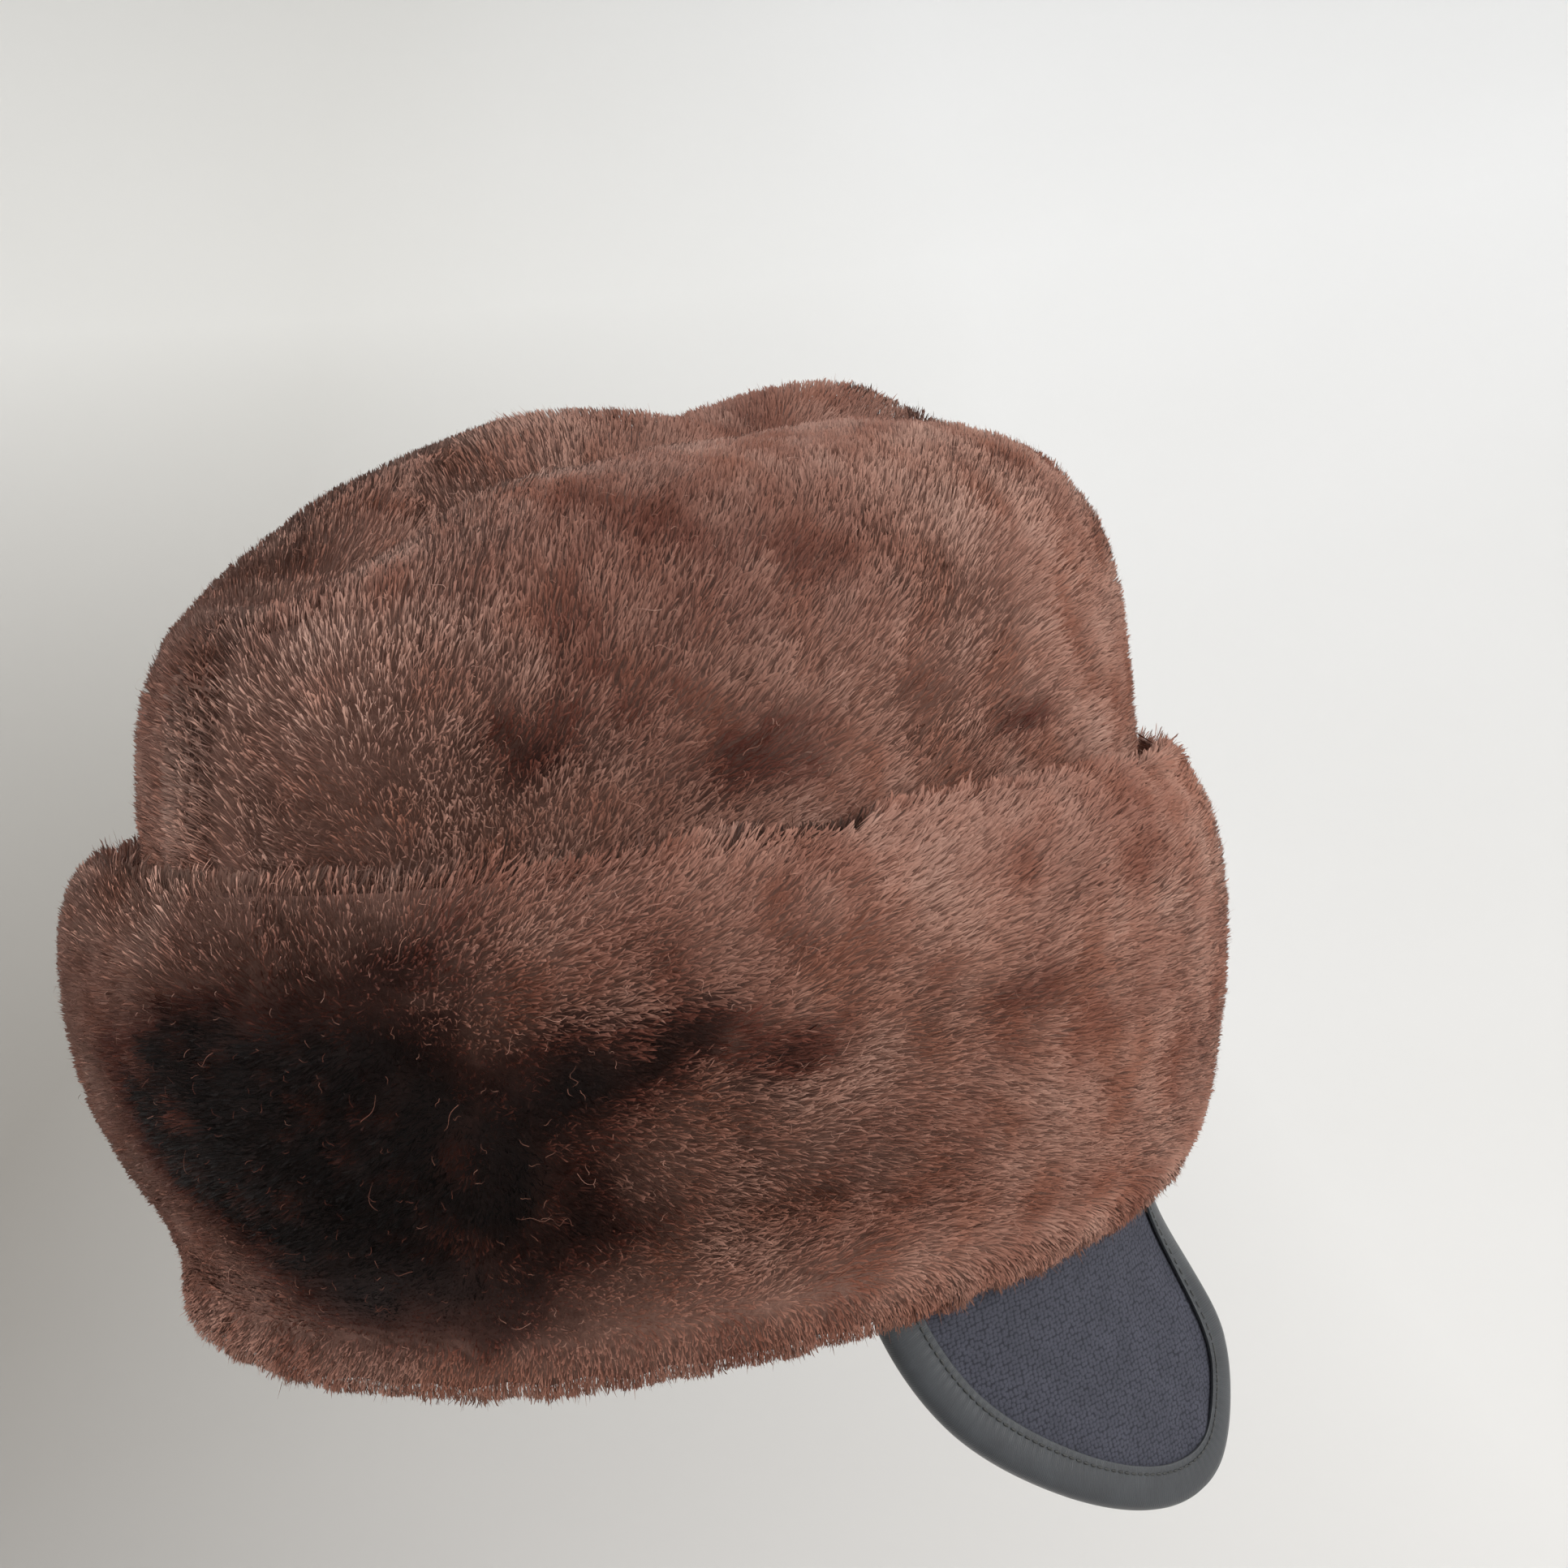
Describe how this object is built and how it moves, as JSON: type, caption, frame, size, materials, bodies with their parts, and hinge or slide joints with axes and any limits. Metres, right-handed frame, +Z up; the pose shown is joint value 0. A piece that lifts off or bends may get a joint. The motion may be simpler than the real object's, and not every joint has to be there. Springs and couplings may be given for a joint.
{
  "type": "cossack hat",
  "caption": "Fur cossack hat: creased crown in halves, thick turned-up fur cuff, tape-bound knitted ear flaps hanging below the hem.",
  "frame": {"origin": "middle of the head opening, level with the fur hem", "axes": "+Z up towards the crown, -Y where the wearer's face looks, +X towards the wearer's left ear"},
  "size_m": [0.2228, 0.2631, 0.2469],
  "materials": {
    "crown_fur": "brown sheared sheepskin fur, matt",
    "cuff_fur": "brown sheared sheepskin fur, darker in patches, matt",
    "wool_knit": "slate blue-grey fine wool knit",
    "satin_tape": "dark grey-green satin bias tape, soft sheen"
  },
  "bodies": {
    "root": {"crown_left": "crown_fur", "crown_right": "crown_fur", "cuff": "cuff_fur", "ear_flap_left": "wool_knit", "ear_flap_right": "wool_knit", "ear_flap_left_binding": "satin_tape", "ear_flap_right_binding": "satin_tape"}
  },
  "joints": []
}
